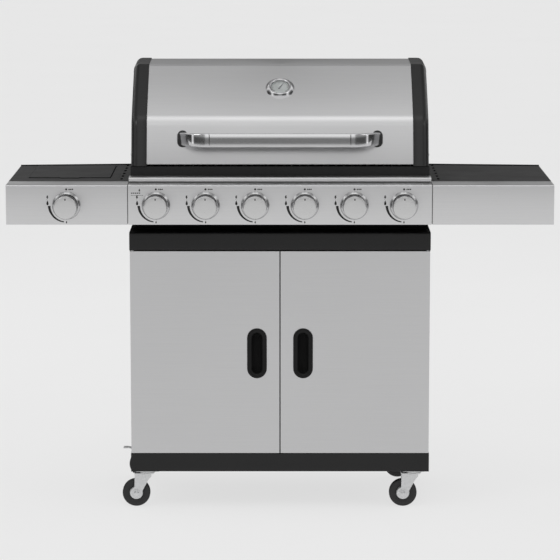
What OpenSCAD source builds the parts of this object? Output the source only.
// Gas barbecue grill on a closed cart: six main burners under a hinged hood, one side burner
// under a flush lid in the left shelf, a plain right shelf, two doors and four swivel casters.
// Millimetres. +X right, +Y to the back, +Z up; the origin is on the floor, at the middle of the
// grill's outline in plan. Inside the modules y is counted from the face of the control panel.

/* [Cart] */
// Overall width across both side shelves
overall_w = 1440; // [1400:10:1560]
// Width of the cabinet, its base and its beam
cabinet_w = 800; // [790:5:830]
// Depth of the cabinet from its front to its rear panel
cabinet_d = 430; // [425:5:450]
// Height of the casters, floor to plate top
caster_h = 103; // [100:1:110]
// Height of the fascia under the doors
base_h = 49; // [44:1:60]
// Height of the door opening
opening_h = 551; // [500:5:620]
// Height of the beam over the doors
beam_h = 48; // [44:1:56]
// Gap between the two doors
door_gap = 3.2; // [2:0.2:6]

/* [Head] */
// Height of the control panel's face
panel_h = 105; // [100:1:112]
// Depth of the steel strip along the shelves' front edges
trim_d = 86; // [70:1:95]
// Depth of the shelves at their outer ends
shelf_outer_d = 442; // [442:1:460]
// Depth of the shelves beside the firebox
shelf_inner_d = 472; // [468:1:480]
// Number of main burners, each with its own knob
burners = 6; // [5:1:6]

/* [Hood] */
// Width over the hood's end caps
hood_w = 790; // [780:2:790]
// Width of the dark band that each end cap shows
cap_band = 42; // [36:1:50]
// Edge radius of the end caps
cap_r = 18; // [10:1:20]
// Height of the handle bar's section
grip_h = 35; // [28:1:38]
// Depth of the handle bar's section
grip_d = 18; // [14:1:20]
// Distance between the handle's two posts
grip_span = 528; // [440:4:560]

/* [Controls] */
// Diameter of a knob
knob_d = 58.4; // [50:0.4:60]
// How far a knob stands out of the panel
knob_out = 45.5; // [40:0.5:50]
// How far a knob pushes in before it turns
knob_push = 4; // [2:0.5:4]
// Outer diameter of the chrome ring round a knob
bezel_d = 75; // [70:1:80]

/* [Casters] */
// Diameter of a wheel
wheel_d = 75; // [70:1:76]
// Width of a tyre
tyre_w = 22; // [18:1:24]
// How far a wheel's axle trails its swivel axis
trail = 28; // [24:1:32]

/* [Hidden] */
$fn = 48;

steel = "#b9b9ba";
satin_black = "#303030";
cast_black = "#262626";
zinc = "#c4c4c2";
brass = "#b59a54";

sheet_t = 2;                          // thickness of the folded sheet parts
run = 0.05;                           // radial clearance of a pin that turns
half = cabinet_w / 2;

// Heights
base_top = caster_h + base_h;
beam_z = base_top + opening_h;
beam_top = beam_z + beam_h;
panel_z = beam_top + 29;              // lower edge of the control panel
panel_top = panel_z + panel_h;        // also the level of both shelves
step_h = 10;                          // step up behind the control panel
rim_z = panel_top + step_h + 30;      // top of the firebox
hood_z = rim_z + 2;                   // lower edge of the hood's end caps
knob_z = panel_top - 54;
pipe_z = knob_z - 26;                 // axis of the gas manifold
ledge_high = rim_z - 34;              // ledges in the firebox for the grates and the rack
ledge_low = knob_z + 22;              // and for the heat tents
inlet_r = 6.6;                        // nipple that takes the gas hose
inlet_l = 26;

// Depths, from the face of the control panel
front = 58;                           // faces of the doors, base and beam
back = front + cabinet_d;
jamb_y = front + 24;                  // front edge of the side panels
box_front = 80;                       // firebox, front wall
box_back = 468;                       // firebox, rear wall
neck_front = 163;                     // the firebox narrows to this neck over the frame
neck_back = 400;
rack_front = 336;                     // warming rack, front and rear rods
rack_back = 446;
hinge_y = 480;                        // axis of the hood's hinge
hinge_z = hood_z + 30;
hinge_r = 30;
hood_back = hinge_y + hinge_r;
cap_proud = 2.5;                      // the end caps stand this far over the steel sheet
face_y = (knob_out - hood_back - cap_proud) / 2;

// Hood profile in y and z, from the rear foot over the top to the front foot
foot_pt = [76, hood_z];
bend_pt = [108, hood_z + 119];
hood_pts = [
    [hood_back, hood_z - 40], [hood_back, hood_z + 160], [440, hood_z + 260],
    [268, hood_z + 254], bend_pt, foot_pt, [foot_pt[0] - 11, hood_z - 40]
];
hood_rads = [0, 60, 70, 26, 42, 0, 0];
front_lean = atan2(bend_pt[0] - foot_pt[0], bend_pt[1] - foot_pt[1]);
slope = atan2(hood_pts[3][1] - bend_pt[1], hood_pts[3][0] - bend_pt[0]);
half_hood = hood_w / 2;
shell_x = half_hood - cap_band;
gauge_rise = 74;                      // the thermometer's middle over the hood's bend

// Knobs
knob_pitch = (cabinet_w - 148.5) / 5;
side_x = -(overall_w + cabinet_w) / 4 - 1;
function knob_x(i) = (i - (burners + 1) / 2) * knob_pitch;

// Handle
grip_z = hood_z + 67;
grip_r = 48;                          // centreline radius of the handle's bends
grip_y = 50;                          // centreline of the bar
function hood_front_y(z) = foot_pt[0] + (z - hood_z) * tan(front_lean);

// Side burner, in the left shelf
side_open = [side_x - 115, side_x + 110];      // opening in the shelf, across
side_open_y = [154, 437];                      // and in depth
pan_depth = 42;
side_hinge = [428, panel_top - 5];
side_burner_y = 290;

// Doors
pin_x = half - 8;
pin_y = front + 8;
pin_r = 3;
door_x0 = door_gap / 2;
door_x1 = half - 1.5;
door_z0 = base_top + 2;
door_z1 = beam_z - 2;
pull_x = 61.5;
pull_z = beam_z - 277;
pull_w = 52.6;
pull_h = 135.6;

// Casters
swivel_x = half - 40;
caster_ys = [99, 448];
axle_z = wheel_d / 2;
hub_r = 17;
leg_y = 14;                            // middle of each fork leg, from the wheel's middle
pedal_pivot = [2, 47];                 // from the axle, in x and z

// Grease tray
tray_z = beam_z - 27;
tray_half = 208;

// ---- helpers -------------------------------------------------------------------------------

function unit(v) = v / norm(v);
function left_of(d) = [-d[1], d[0]];

// Point i of an open path, moved t to the left of the path
function shifted(pts, i, t) =
    let(n = len(pts) - 1,
        d0 = unit(i > 0 ? pts[i] - pts[i - 1] : pts[1] - pts[0]),
        d1 = unit(i < n ? pts[i + 1] - pts[i] : pts[n] - pts[n - 1]),
        n0 = left_of(d0), n1 = left_of(d1))
    pts[i] + t * (n0 + n1) / (1 + n0 * n1);

// Points of the arc that rounds corner b of a, b, c
function corner(a, b, c, r, n) =
    let(u = unit(a - b), v = unit(c - b), w = acos(u * v) / 2,
        m = b + unit(u + v) * r / sin(w),
        p = b + u * r / tan(w) - m, q = b + v * r / tan(w) - m,
        a0 = atan2(p[1], p[0]), turn = (atan2(q[1], q[0]) - a0 + 540) % 360 - 180)
    [for (i = [0:n]) m + r * [cos(a0 + turn * i / n), sin(a0 + turn * i / n)]];

// An open path moved t to its left, with corner i rounded to radius rads[i] before the move
function bent(pts, rads, t, n = 6) =
    let(q = [for (i = [0:len(pts) - 1]) shifted(pts, i, t)], last = len(pts) - 1)
    [for (i = [0:last])
        let(inner = i > 0 && i < last && rads[i] > 0,
            side = inner ? sign(cross(q[i] - q[i - 1], q[i + 1] - q[i])) : 0)
        each inner ? corner(q[i - 1], q[i], q[i + 1], rads[i] - side * t, n) : [q[i]]];

function reversed(v) = [for (i = [len(v) - 1:-1:0]) v[i]];

// Section of a folded sheet, with its thickness to the left of the path
module fold(pts, rads, t = sheet_t) {
    polygon(concat(bent(pts, rads, 0), reversed(bent(pts, rads, t))));
}

module in_row() { translate([0, face_y, 0]) children(); }
module both() { children(); mirror([1, 0, 0]) children(); }

// A block from corner a to corner b
module block(a, b) { translate(a) cube(b - a); }

// A y, z section drawn out along x, and an x, z section drawn out along y
module along_x(x0, x1) { translate([x0, 0, 0]) rotate([90, 0, 90]) linear_extrude(x1 - x0) children(); }
module along_y(y0, y1) { translate([0, y1, 0]) rotate([90, 0, 0]) linear_extrude(y1 - y0) children(); }

module rod_x(x0, x1, y, z, r) { along_x(x0, x1) translate([y, z]) circle(r); }
module rod_y(y0, y1, x, z, r) { along_y(y0, y1) translate([x, z]) circle(r); }
module rod_z(z0, z1, x, y, r) { translate([x, y, z0]) cylinder(r = r, h = z1 - z0); }

// A slot with round ends, w wide and h high
module stadium(w, h) {
    square([w, h - w], center = true);
    for (s = [-1, 1]) translate([0, s * (h - w) / 2]) circle(d = w);
}

// ---- cart ----------------------------------------------------------------------------------

module base_pan() {
    color(satin_black) in_row() difference() {
        union() {
            block([-half, front, base_top - 4], [half, back, base_top - 2]);
            along_x(-half, half)
                fold([[front + 20, caster_h], [front, caster_h], [front, base_top]], [0, 3, 0], -sheet_t);
            block([-half, back - 2, caster_h], [half, back, base_top]);
            both() {
                block([half - 2, front, caster_h], [half, back, base_top]);
                block([swivel_x - 35, front, caster_h], [half, back, caster_h + 2]);
                block([swivel_x - 35, front, caster_h], [swivel_x - 33, back, base_top - 2]);
            }
        }
        both() rod_z(base_top - 6, base_top, pin_x, pin_y, pin_r);
    }
}

module side_panel() {
    color(steel) {
        block([half - 2, jamb_y, base_top], [half, back, beam_z]);
        block([half - 16, jamb_y, base_top], [half - 2, jamb_y + 2, beam_z]);
    }
}
module left_side_panel() { in_row() mirror([1, 0, 0]) side_panel(); }
module right_side_panel() { in_row() side_panel(); }

module rear_panel() {
    vents = 8;
    color(steel) in_row() difference() {
        block([-half + 2, back - 2, base_top], [half - 2, back, beam_z - 73]);
        for (i = [1:vents], z = [90, 110, 130])
            translate([(i - (vents + 1) / 2) * 76, 0, beam_z - z - 20])
                along_y(back - 3, back + 1) rotate(90) stadium(8, 56);
    }
}

module top_frame() {
    color(satin_black) in_row() difference() {
        union() {
            along_x(-half, half)
                fold([[front + 22, beam_z], [front, beam_z], [front, beam_top], [neck_front - 3, beam_top]],
                     [0, 5, 5, 0], -sheet_t);
            block([-half, neck_back + 3, beam_top - 2], [half, back, beam_top]);
            block([-half, back - 2, beam_z + 12], [half, back, beam_top]);
            both() {
                block([half - 2, front + 4, beam_z], [half, back, beam_top]);
                tray_rail();
            }
        }
        both() rod_z(beam_z - 1, beam_z + 3, pin_x, pin_y, pin_r);
    }
}

module tray_rail() {
    block([tray_half - 8, 100, tray_z - 2.4], [tray_half + 4, back - 2, tray_z - 0.4]);
    block([tray_half + 2, 100, tray_z - 2.4], [tray_half + 4, back - 2, tray_z + 26]);
    for (y = [100, 420]) block([tray_half + 2, y, tray_z], [tray_half + 4, y + 40, beam_top]);
}

module grease_tray() {
    color(zinc) in_row() difference() {
        union() {
            block([-tray_half, 130, tray_z], [tray_half, 482, tray_z + 22]);
            block([-60, 482, tray_z + 16], [60, 500, tray_z + 18]);
            block([-60, 498, tray_z + 4], [60, 500, tray_z + 18]);
        }
        block([-tray_half + 2, 132, tray_z + 2], [tray_half - 2, 480, tray_z + 23]);
        rod_z(tray_z - 1, tray_z + 3, 0, 300, 10);
    }
}

module grease_cup() {
    color(zinc) in_row() difference() {
        rod_z(tray_z - 34, tray_z, 0, 300, 34);
        rod_z(tray_z - 32, tray_z + 1, 0, 300, 32);
    }
}

// ---- firebox -------------------------------------------------------------------------------

box_pts = [
    [box_front, rim_z], [box_front, panel_top - 85], [neck_front, beam_top + 11],
    [neck_front, beam_top - 6], [262, beam_z + 15]
];
box_rear_pts = [
    [308, beam_z + 15], [neck_back, beam_top - 6], [neck_back, beam_top + 11],
    [box_back, panel_top - 85], [box_back, rim_z]
];

module firebox() {
    end = half - 4;
    color(cast_black) in_row() difference() {
        union() {
            along_x(-end, end) {
                fold(box_pts, [0, 6, 6, 6, 0]);
                fold(box_rear_pts, [0, 6, 6, 6, 0]);
            }
            both() along_x(end - 2, end) polygon(concat(box_pts, box_rear_pts));
            block([-end, neck_front - 22, beam_top], [end, neck_front + 1, beam_top + 2]);
            block([-end, neck_back - 1, beam_top], [end, neck_back + 22, beam_top + 2]);
            // ledges for the grates, the heat tents and the warming rack
            for (z = [ledge_high, ledge_low]) {
                block([-end, box_front + 1, z], [end, box_front + 14, z + 2]);
                block([-end, box_back - 14, z], [end, box_back - 1, z + 2]);
            }
            both() block([end - 18, rack_front - 6, ledge_high], [end - 1, 412, ledge_high + sheet_t]);
        }
        for (i = [1:burners]) rod_y(box_front - 1, box_front + 3, knob_x(i), knob_z, 15);
    }
}

// Bracket on the firebox wall and the headed pin that carries the hood's end cap
module hood_hinge() {
    x = half_hood - cap_proud - 0.5;
    foot_y = hinge_y - 65;
    foot_w = 28;
    reach = 12;                            // the bracket's arm is twice this high
    drop = 45;                             // and its foot reaches this far below the firebox's rim
    difference() {
        along_x(x - 3, x) {
            translate([foot_y, rim_z - drop]) square([foot_w, hinge_z + reach - rim_z + drop]);
            translate([foot_y, hinge_z - reach]) square([hinge_y - foot_y, 2 * reach]);
            translate([hinge_y, hinge_z]) circle(reach);
        }
        rod_x(x - 4, x + 1, hinge_y, hinge_z, 4);
    }
    for (z = [rim_z - 36, rim_z - 14]) rod_x(x - 6, half - 6, foot_y + foot_w / 2, z, 5);
    rod_x(x - 6, half_hood + 3, hinge_y, hinge_z, 4);
    rod_x(half_hood + 0.4, half_hood + 3, hinge_y, hinge_z, 8);
}

module hinge_pins() {
    color(zinc) in_row() both() {
        hood_hinge();
        rod_z(base_top - 12, base_top + 10, pin_x, pin_y, pin_r);
        rod_z(beam_z - 10, beam_z + 10, pin_x, pin_y, pin_r);
    }
}

module burner_tubes() {
    color(steel) in_row() for (i = [1:burners]) difference() {
        rod_y(56, 446, knob_x(i), knob_z, 13);
        rod_y(55, 444, knob_x(i), knob_z, 11.5);
        // flame slots along both flanks
        for (y = [110:24:422]) block([knob_x(i) - 20, y, knob_z + 5], [knob_x(i) + 20, y + 10, knob_z + 7]);
    }
}

module heat_tents() {
    z = ledge_low + sheet_t + 0.9;         // the sheet's slanted foot reaches 0.9 below its outer edge
    color(steel) in_row() for (i = [1:burners])
        translate([knob_x(i), 0, 0]) along_y(box_front + 4, box_back - 4)
            fold([[50, z], [44, z + 8], [0, z + 32], [-44, z + 8], [-50, z]], [0, 4, 6, 4, 0], 1.5);
}

grate_w = (cabinet_w - 50) / 3;
module cooking_grates() {
    z = ledge_high + sheet_t;
    y0 = box_front + 6;
    y1 = box_back - 6;
    color(cast_black) in_row() for (k = [-1:1]) translate([k * (grate_w + 2), 0, 0]) {
        difference() {
            block([-grate_w / 2, y0, z], [grate_w / 2, y1, z + 10]);
            block([-grate_w / 2 + 8, y0 + 8, z - 1], [grate_w / 2 - 8, y1 - 8, z + 11]);
        }
        for (i = [1:10]) translate([(i - 5.5) * (grate_w - 8) / 11, 0, 0])
            block([-4, y0 + 7, z + 1], [4, y1 - 7, z + 10]);
        block([-grate_w / 2 + 7, (y0 + y1) / 2 - 4, z + 1], [grate_w / 2 - 7, (y0 + y1) / 2 + 4, z + 7]);
    }
}

// A welded wire grid that lies in the saddles of four posts
module warming_rack() {
    z = rim_z + 85;
    end = half - 17;
    wires = 27;
    color(steel) in_row() {
        for (y = [rack_front, rack_back]) rod_x(-end, end, y, z, 3);
        for (i = [1:wires]) rod_y(rack_front, rack_back, (i - (wires + 1) / 2) * 27, z, 1.6);
        both() {
            rod_y(rack_front, rack_back, end, z, 3);
            for (y = [344, 402]) difference() {
                block([end - 4, y - 4, ledge_high + sheet_t], [end + 4, y + 4, z]);
                rod_y(y - 5, y + 5, end, z, 3 + run);
            }
        }
    }
}

// ---- gas and controls ----------------------------------------------------------------------

module control_panel() {
    color(steel) in_row() difference() {
        union() {
            along_x(-half + 1, half - 1)
                fold([[14, panel_z], [0, panel_z], [0, panel_top], [45, panel_top],
                      [45, panel_top + step_h], [box_front, panel_top + step_h]],
                     [0, 3, 3.5, 3, 4.5, 0], -sheet_t);
            both() block([half - 3, 1, panel_z + 1], [half - 1, box_front, panel_top - 1]);
        }
        for (i = [1:burners]) rod_y(-1, 3, knob_x(i), knob_z, 9);
        both() rod_x(half - 5, half + 1, 30, pipe_z, 11);
    }
}

// A ring section or knob section in radius and height, turned about an axis that points forward
module turned(x) { translate([x, 0, knob_z]) rotate([90, 0, 0]) rotate_extrude() children(); }

module bezel(x) {
    turned(x) difference() {
        union() {
            square([bezel_d / 2, 1.6]);
            polygon([[0, 1.6], [bezel_d / 2 - 0.4, 1.6], [bezel_d / 2 - 3, 6],
                     [bezel_d / 2 - 5, 7.6], [0, 7.6]]);
        }
        translate([-1, -1]) square([knob_d / 2 + 2.3, 10]);
    }
}
module knob_bezels() {
    color("silver") in_row() {
        for (i = [1:burners]) bezel(knob_x(i));
        bezel(side_x);
    }
}

module valve(x) {
    difference() {
        union() {
            block([x - 14, 12, knob_z - 14], [x + 14, 44, knob_z + 14]);
            rod_y(4, 13, x, knob_z, 8);
            rod_y(43, 60, x, knob_z, 4);
        }
        rod_y(3, 30, x, knob_z, 4 + run);
    }
}
module burner_valves() {
    color(brass) in_row() {
        for (i = [1:burners]) valve(knob_x(i));
        valve(side_x);
    }
}

module gas_manifold() {
    end = half - 12;
    color(zinc) in_row() {
        rod_x(-end, end, 30, pipe_z, 9);
        rod_x(side_x - 8, -end + 1, 30, pipe_z, 5);
        for (i = [1:burners]) rod_z(pipe_z, knob_z - 14, knob_x(i), 30, 6);
        rod_z(pipe_z, knob_z - 14, side_x, 30, 5);
        // inlet for the gas hose: a hexagon nut and a plain nipple
        along_x(end - 1, half + 2) translate([30, pipe_z]) circle(9.5, $fn = 6);
        rod_x(half + 1, half + 2 + inlet_l, 30, pipe_z, inlet_r);
    }
}

module spindle(x) {
    color(brass) in_row() rod_y(-knob_out + 9.6, 20, x, knob_z, 4);
}

module knob(x) {
    r = knob_d / 2;
    color("silver") in_row() difference() {
        turned(x) polygon([
            [0, knob_out - 9.5], [4 + run, knob_out - 9.5], [4 + run, 5], [r - 1.2, 5], [r - 0.7, 6],
            [r, knob_out - 5], [r - 0.4, knob_out - 2.4], [r - 1.8, knob_out - 0.6],
            [r - 3.4, knob_out], [0, knob_out]
        ]);
        rod_y(-knob_out - 1, -knob_out + 0.6, x, knob_z + r - 7, 1.4);
    }
}

// ---- side shelves --------------------------------------------------------------------------

module shelf_fascia(hole) {
    x0 = half + 1;
    x1 = overall_w / 2;
    color(steel) difference() {
        union() {
            along_x(x0, x1)
                fold([[20, panel_z], [0, panel_z], [0, panel_top], [trim_d, panel_top]],
                     [0, 3, 3.5, 0], -sheet_t);
            block([x1 - 2, 1, panel_z + 1], [x1, trim_d, panel_top - 1]);
        }
        if (hole) rod_y(-1, 3, -side_x, knob_z, 9);
    }
}

module shelf_body() {
    x0 = half - 4;
    x1 = overall_w / 2;
    z = panel_top - 65;
    difference() {
        union() {
            translate([0, 0, panel_top - 2]) linear_extrude(2)
                polygon([[x0, trim_d], [x1, trim_d], [x1, shelf_outer_d], [x0, shelf_inner_d]]);
            translate([0, 0, z]) linear_extrude(panel_top + 3 - z)
                polygon([[x0, shelf_inner_d - 2], [x1, shelf_outer_d - 2],
                         [x1, shelf_outer_d], [x0, shelf_inner_d]]);
            block([x1 - 2, trim_d, z], [x1, shelf_outer_d - 1, panel_top - 1]);
            block([x0, trim_d, z], [x0 + 2, shelf_inner_d - 1, panel_top - 1]);
            block([x0, trim_d, z], [x1, trim_d + 2, panel_top - 1]);
        }
        // vent slots beside the firebox
        for (k = [0:5]) translate([half + 23, 140 + k * 62, panel_top - 3]) linear_extrude(5) stadium(7, 34);
    }
}

module right_shelf() { color("#454545") in_row() shelf_body(); }
module right_shelf_fascia() { in_row() shelf_fascia(false); }
module left_shelf_fascia() { in_row() mirror([1, 0, 0]) shelf_fascia(true); }

module left_shelf() {
    floor_z = panel_top - pan_depth;
    color("#454545") in_row() difference() {
        union() {
            mirror([1, 0, 0]) shelf_body();
            block([side_open[0] - 2, side_open_y[0] - 2, floor_z - 2],
                  [side_open[1] + 2, side_open_y[1] + 2, panel_top - 1]);
        }
        block([side_open[0], side_open_y[0], floor_z], [side_open[1], side_open_y[1], panel_top + 1]);
        rod_z(floor_z - 3, floor_z + 1, side_x, side_burner_y, 14);
        rod_y(trim_d - 1, trim_d + 3, side_x, knob_z, 10);
        rod_x(side_open[0] - 3, side_open[1] + 3, side_hinge[0], side_hinge[1], 3 + run);
    }
}

module side_burner() {
    color(cast_black) in_row() {
        rod_y(62, side_burner_y, side_x, knob_z, 9);
        rod_z(knob_z, panel_top - 34, side_x, side_burner_y, 12);
        rod_z(panel_top - 35, panel_top - 21, side_x, side_burner_y, 34);
        rod_z(panel_top - 21, panel_top - 18, side_x, side_burner_y, 25);
    }
}

module side_burner_grate() {
    z = panel_top - 17;
    arm = 92;
    color(cast_black) in_row() translate([side_x, side_burner_y, 0]) {
        difference() {
            block([-arm, -arm, z], [arm, arm, z + 6]);
            block([-arm + 7, -arm + 7, z - 1], [arm - 7, arm - 7, z + 7]);
        }
        for (a = [0, 90, 180, 270]) rotate(a) block([26, -3, z], [arm - 5, 3, z + 6]);
        for (x = [-1, 1], y = [-1, 1])
            rod_z(panel_top - pan_depth, z + 3, x * (arm - 4), y * (arm - 4), 3.5);
    }
}

module side_burner_lid() {
    x0 = side_open[0] + 4;
    x1 = side_open[1] - 4;
    y0 = side_open_y[0] + 4;
    y1 = side_open_y[1] - 5;
    z = panel_top + 2;
    color("#3c3c3c") in_row() {
        difference() {
            block([x0, y0, z - 10], [x1, y1, z]);
            block([x0 + 2, y0 + 2, z - 11], [x1 - 2, y1 - 2, z - 2]);
        }
        block([side_x - 27, y0 - 9, z - 1.5], [side_x + 23, y0 + 1, z]);
        rod_x(x0 - 5.5, x0 + 1, side_hinge[0], side_hinge[1], 3);
        rod_x(x1 - 1, x1 + 5.5, side_hinge[0], side_hinge[1], 3);
    }
}

// ---- hood ----------------------------------------------------------------------------------

module lid_shell() {
    sheet = [[hood_back, hinge_z], hood_pts[1], hood_pts[2], hood_pts[3], hood_pts[4],
             [hood_front_y(hood_z + 3), hood_z + 3]];
    color(steel) in_row() difference() {
        along_x(-shell_x + 0.2, shell_x - 0.2)
            polygon(concat(bent(sheet, [0, 60, 70, 26, 42, 0], 0, 10),
                           reversed(bent(sheet, [0, 60, 70, 26, 42, 0], sheet_t, 10))));
        on_slope() translate([0, 0, -5]) cylinder(r = 4.5, h = 10);
    }
}

// The hood's outline, moved k inwards, with a round foot about the hinge
module hood_outline(k) {
    ring = bent(concat(hood_pts, [hood_pts[0], hood_pts[1]]), concat(hood_rads, [0, 0]), k, 5);
    polygon([for (i = [1:len(ring) - 2]) ring[i]]);
}

module domed(k, x0, x1, r) {
    hull() {
        along_x(x0, x1 - r) hood_outline(k);
        for (a = [30, 60, 90])
            along_x(x1 - r * (1 - sin(a)) - 0.1, x1 - r * (1 - sin(a))) hood_outline(k + r * (1 - cos(a)));
    }
}

module end_cap() {
    color(satin_black) difference() {
        domed(-cap_proud, shell_x, half_hood, cap_r);
        domed(0, shell_x - 1, half_hood - cap_proud, cap_r - cap_proud);
        block([0, 0, hood_z - 60], [half, hood_back + 10, hood_z]);
        // the rear foot is round about the hinge, so that the hood turns clear of the firebox
        along_x(0, half) difference() {
            translate([hinge_y, hood_z - 20]) square([60, hinge_z - hood_z + 20]);
            translate([hinge_y, hinge_z]) circle(hinge_r + cap_proud);
        }
        rod_x(half_hood - 10, half_hood + 1, hinge_y, hinge_z, 4 + run);
    }
}
module lid_right_end_cap() { in_row() end_cap(); }
module lid_left_end_cap() { in_row() mirror([1, 0, 0]) end_cap(); }

// Local frames on the hood: z outwards, y up along the sheet
module on_front(x) {
    translate([x, hood_front_y(grip_z), grip_z]) rotate([90 - front_lean, 0, 0]) children();
}
module on_slope() {
    translate([0, bend_pt[0] + gauge_rise / tan(slope), bend_pt[1] + gauge_rise])
        rotate([slope, 0, 0]) children();
}

module lid_handle() {
    straight = grip_span / 2 - grip_r;
    color(steel) in_row() difference() {
        union() {
            along_x(-straight, straight) translate([grip_y, grip_z]) stadium(grip_d, grip_h);
            both() {
                translate([straight, grip_y + grip_r, grip_z]) rotate(-90)
                    rotate_extrude(angle = 90) translate([grip_r, 0]) stadium(grip_d, grip_h);
                along_y(grip_y + grip_r, grip_y + grip_r + 20)
                    translate([straight + grip_r, grip_z]) stadium(grip_d, grip_h);
            }
        }
        on_front(0) translate([-half, -100, 5 - 100]) cube([cabinet_w, 200, 100]);
    }
}

module handle_gaskets() {
    color(cast_black) in_row() both() on_front(grip_span / 2)
        linear_extrude(5) stadium(30, 47);
}

module thermometer() {
    color("silver") in_row() on_slope() {
        rotate_extrude() polygon([
            [0, 0], [36, 0], [39.5, 1.5], [39.5, 4], [37.5, 8], [34, 9.6], [31, 8.6], [30.4, 6], [0, 6]
        ]);
        translate([0, 0, -42]) cylinder(r = 4, h = 43);
        cylinder(r = 1.2, h = 8.4);
    }
}

module thermometer_needle() {
    color(satin_black) in_row() on_slope() translate([0, 0, 6.5]) difference() {
        linear_extrude(0.9) {
            circle(3.2);
            rotate(-30) polygon([[-1.6, -8], [1.6, -8], [0.5, 24], [-0.5, 24]]);
        }
        translate([0, 0, -1]) cylinder(r = 1.2 + run, h = 3);
    }
}

// ---- doors ---------------------------------------------------------------------------------

module door() {
    depth = 20;
    color(steel) difference() {
        union() {
            difference() {
                block([door_x0, front, door_z0], [door_x1, front + depth, door_z1]);
                block([door_x0 + 2, front + 2, door_z0 + 2], [door_x1 - 2, front + depth + 1, door_z1 - 2]);
            }
            // hinge blocks
            for (z = [door_z0, door_z1 - 12])
                block([pin_x - 6, front + 1, z], [door_x1 - 1, front + 16, z + 12]);
        }
        for (z = [door_z0 - 1, door_z1 - 10]) rod_z(z, z + 11, pin_x, pin_y, pin_r + run);
        translate([pull_x, 0, pull_z]) along_y(front - 1, front + 3) stadium(46, 129);
    }
}
module left_door() { in_row() mirror([1, 0, 0]) door(); }
module right_door() { in_row() door(); }

module door_pull() {
    color("#242424") translate([pull_x, 0, pull_z]) difference() {
        union() {
            along_y(front - 3.5, front) stadium(pull_w, pull_h);
            along_y(front, front + 17) stadium(45.6, 128.6);
        }
        // rounded mouth that steps in to the finger recess
        along_y(front - 4, front - 1) stadium(pull_w - 10, pull_h - 10);
        along_y(front - 4, front + 3) stadium(pull_w - 17, pull_h - 17);
        along_y(front - 4, front + 15) stadium(pull_w - 24, pull_h - 24);
    }
}
module left_door_pull() { in_row() mirror([1, 0, 0]) door_pull(); }
module right_door_pull() { in_row() door_pull(); }

// ---- casters -------------------------------------------------------------------------------

module at_caster(side, row) { in_row() translate([side * swivel_x, caster_ys[row], 0]) children(); }

module caster_plates() {
    color(zinc) for (side = [-1, 1], row = [0, 1]) at_caster(side, row) {
        block([-27, -32, caster_h - 3], [27, 32, caster_h]);
        rod_z(caster_h - 9, caster_h - 3, 0, 0, 20);
        rod_z(caster_h - 19, caster_h - 9, 0, 0, 5);
        rod_z(caster_h - 19, caster_h - 16, 0, 0, 8);
    }
}

// Fork leg, in x and z from the axle
module leg_outline(top) {
    difference() {
        union() {
            polygon([[-7, top], [42, top], [42, top - 7], [13, 3], [9, -8], [-8, -7], [-9, 2], [-7, 12]]);
            circle(11);
        }
        translate([-60, -60]) square([30, 30]);
    }
}

module fork(brake) {
    top = caster_h - 9.3;
    color(zinc) difference() {
        union() {
            translate([trail, 0, top - 5.7]) cylinder(r = 22, h = 5.7);
            block([-7, -leg_y - 1.2, top - 2.5], [trail + 14, leg_y + 1.2, top]);
            for (s = [-1, 1])
                along_y(s * leg_y - 1.25, s * leg_y + 1.25) translate([0, axle_z]) leg_outline(top - axle_z);
            rod_y(-leg_y - 4, leg_y + 4, 0, axle_z, 4);
            if (brake) rod_y(-leg_y - 2.5, leg_y + 2.5, pedal_pivot[0], axle_z + pedal_pivot[1], 2.2);
        }
        rod_z(top - 8, top + 1, trail, 0, 5 + run);
    }
}

// Both wheels of a side trail towards -X, so the axle lies at -trail from the swivel axis
module caster_fork(side, row) { at_caster(side, row) translate([-trail, 0, 0]) fork(row == 1); }
module caster_fork_fl() { caster_fork(-1, 0); }
module caster_fork_fr() { caster_fork(1, 0); }
module caster_fork_rl() { caster_fork(-1, 1); }
module caster_fork_rr() { caster_fork(1, 1); }

module wheel_section(r0, r1, w, edge) {
    polygon([[r0, -w / 2], [r1 - edge, -w / 2], [r1 - edge * 0.3, -w / 2 + edge * 0.3], [r1, -w / 2 + edge],
             [r1, w / 2 - edge], [r1 - edge * 0.3, w / 2 - edge * 0.3], [r1 - edge, w / 2], [r0, w / 2]]);
}

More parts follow.
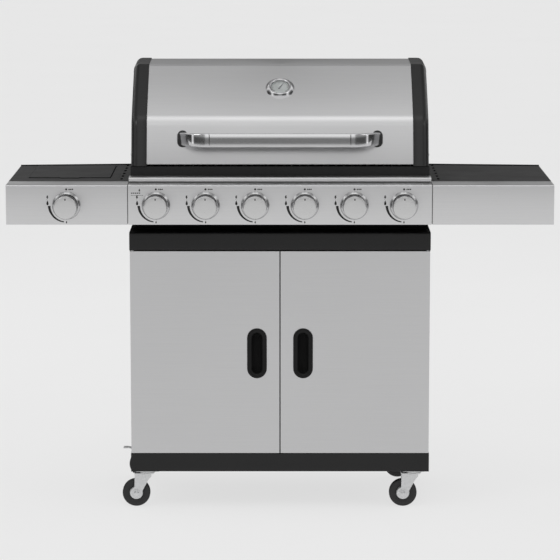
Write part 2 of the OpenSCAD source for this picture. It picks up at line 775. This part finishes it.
module caster_wheel(side, row) {
    at_caster(side, row) translate([-trail, 0, axle_z]) rotate([90, 0, 0]) {
        color("#2b2b2b") rotate_extrude() wheel_section(hub_r, wheel_d / 2, tyre_w, 4);
        color("#bcbcbc") rotate_extrude() wheel_section(4 + run, hub_r, tyre_w + 2, 1);
    }
}
module caster_wheel_fl() { caster_wheel(-1, 0); }
module caster_wheel_fr() { caster_wheel(1, 0); }
module caster_wheel_rl() { caster_wheel(-1, 1); }
module caster_wheel_rr() { caster_wheel(1, 1); }

module brake_pedal(side) {
    color(zinc) at_caster(side, 1) translate([-trail, 0, axle_z]) difference() {
        along_y(-10, 10) {
            polygon([[-54, 44], [-54, 48.5], [-40, 49], [-32, 46], [-8, 49.6], [2, 50], [5.5, 47],
                     [3, 43.6], [-4, 43], [-6, 40.4], [-13, 39.4], [-16, 42], [-32, 42.6], [-41, 45.5]]);
        }
        rod_y(-11, 11, pedal_pivot[0], pedal_pivot[1], 2.2 + run);
    }
}
module brake_pedal_rl() { brake_pedal(-1); }
module brake_pedal_rr() { brake_pedal(1); }

// ---- nodes ---------------------------------------------------------------------------------

base_pan();
left_side_panel();
right_side_panel();
rear_panel();
top_frame();
firebox();
control_panel();
knob_bezels();
gas_manifold();
burner_valves();
burner_tubes();
heat_tents();
cooking_grates();
warming_rack();
hinge_pins();
left_shelf();
left_shelf_fascia();
right_shelf();
right_shelf_fascia();
side_burner();
side_burner_grate();
side_burner_lid();
grease_tray();
grease_cup();
lid_shell();
lid_left_end_cap();
lid_right_end_cap();
lid_handle();
handle_gaskets();
thermometer();
thermometer_needle();
left_door();
right_door();
left_door_pull();
right_door_pull();
caster_plates();
caster_fork_fl();
caster_fork_fr();
caster_fork_rl();
caster_fork_rr();
caster_wheel_fl();
caster_wheel_fr();
caster_wheel_rl();
caster_wheel_rr();
brake_pedal_rl();
brake_pedal_rr();
spindle(knob_x(1));  // spindle_1
spindle(knob_x(2));  // spindle_2
spindle(knob_x(3));  // spindle_3
spindle(knob_x(4));  // spindle_4
spindle(knob_x(5));  // spindle_5
spindle(knob_x(6));  // spindle_6
spindle(side_x);  // spindle_side
knob(knob_x(1));  // knob_1
knob(knob_x(2));  // knob_2
knob(knob_x(3));  // knob_3
knob(knob_x(4));  // knob_4
knob(knob_x(5));  // knob_5
knob(knob_x(6));  // knob_6
knob(side_x);  // knob_side
